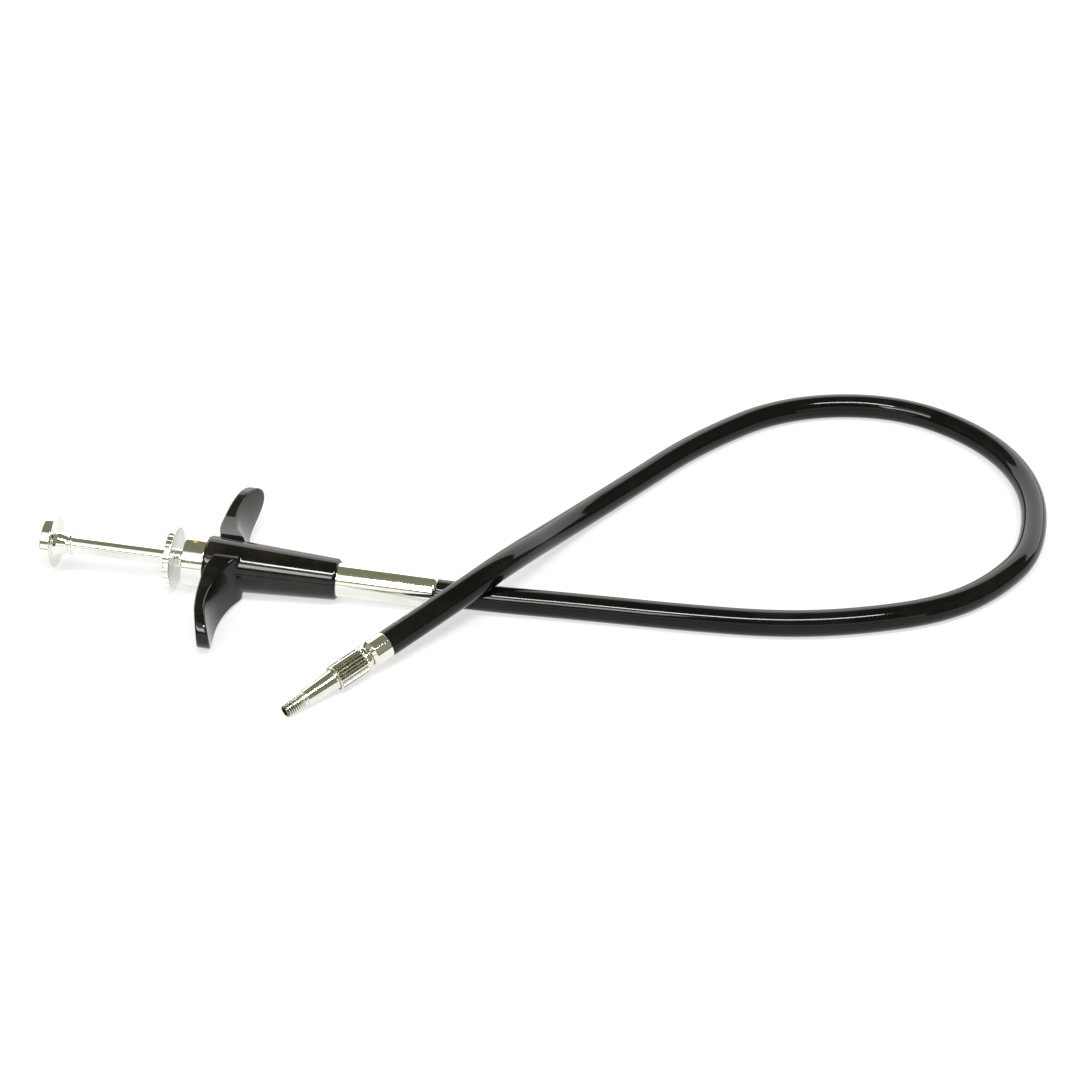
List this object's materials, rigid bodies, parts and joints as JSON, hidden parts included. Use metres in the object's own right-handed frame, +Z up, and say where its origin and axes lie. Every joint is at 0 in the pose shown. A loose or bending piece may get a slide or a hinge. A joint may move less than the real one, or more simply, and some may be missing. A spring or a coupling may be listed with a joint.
{
  "type": "cable shutter release",
  "caption": "Cable shutter release with a thumb plunger, turning lock disc, two finger wings and a long flexible cable to a swivelling threaded tip.",
  "frame": {"origin": "on the table, below the middle of the handle's bounding box", "axes": "+X along the handle towards the cable, +Y towards the side the cable's loop lies on, +Z up from the table"},
  "size_m": [0.2276, 0.1411, 0.0149],
  "materials": {
    "bright_metal": "polished chrome plate",
    "nickel": "polished nickel plate",
    "steel": "drawn spring steel",
    "brass": "turned",
    "grip": "glossy black moulding",
    "sheath": "glossy black vinyl"
  },
  "bodies": {
    "handle": {"barrel_head": "bright_metal", "barrel_tube": "bright_metal", "guide_bush": "brass", "stop_washer": "steel", "guide_tube": "steel", "cable_anchor": "brass", "crimp_bush": "brass", "return_spring": "steel", "finger_grip": "grip", "cable_sheath": "sheath", "cable_conduit": "steel", "inner_wire": "steel", "tip_ferrule": "nickel"},
    "plunger": {"thumb_button": "bright_metal", "plunger_rod": "bright_metal", "plunger_piston": "steel", "push_lead": "steel"},
    "lock_disc": {"lock_disc": "bright_metal", "lock_collet": "brass"},
    "tip_swivel": {"tip_sleeve": "nickel", "threaded_tip": "nickel", "pin_guide": "brass"},
    "release_pin": {"release_pin": "steel"}
  },
  "joints": [
    {"name": "plunger_slide", "type": "slide", "parent": "handle", "child": "plunger", "axis": [0.9984, 0, -0.0557], "range_m": [0, 0.017], "stiffness_N_per_m": 150, "springref_m": -0.01, "deforming": ["return_spring", "inner_wire"]},
    {"name": "lock_turn", "type": "hinge", "parent": "handle", "child": "lock_disc", "pos_m": [-0.01475, 0, 0.00721], "axis": [0.9984, 0, -0.0557], "range_deg": [0, 90]},
    {"name": "tip_spin", "type": "hinge", "parent": "handle", "child": "tip_swivel", "pos_m": [0.0376, -0.0224, 0.0059], "axis": [-0.6589, -0.7343, -0.1633], "continuous": true},
    {"name": "pin_slide", "type": "slide", "parent": "handle", "child": "release_pin", "axis": [-0.6589, -0.7343, -0.1633], "range_m": [0, 0.017]}
  ],
  "couplings": [
    {"joint": "pin_slide", "follows": "plunger_slide", "ratio": 1}
  ]
}
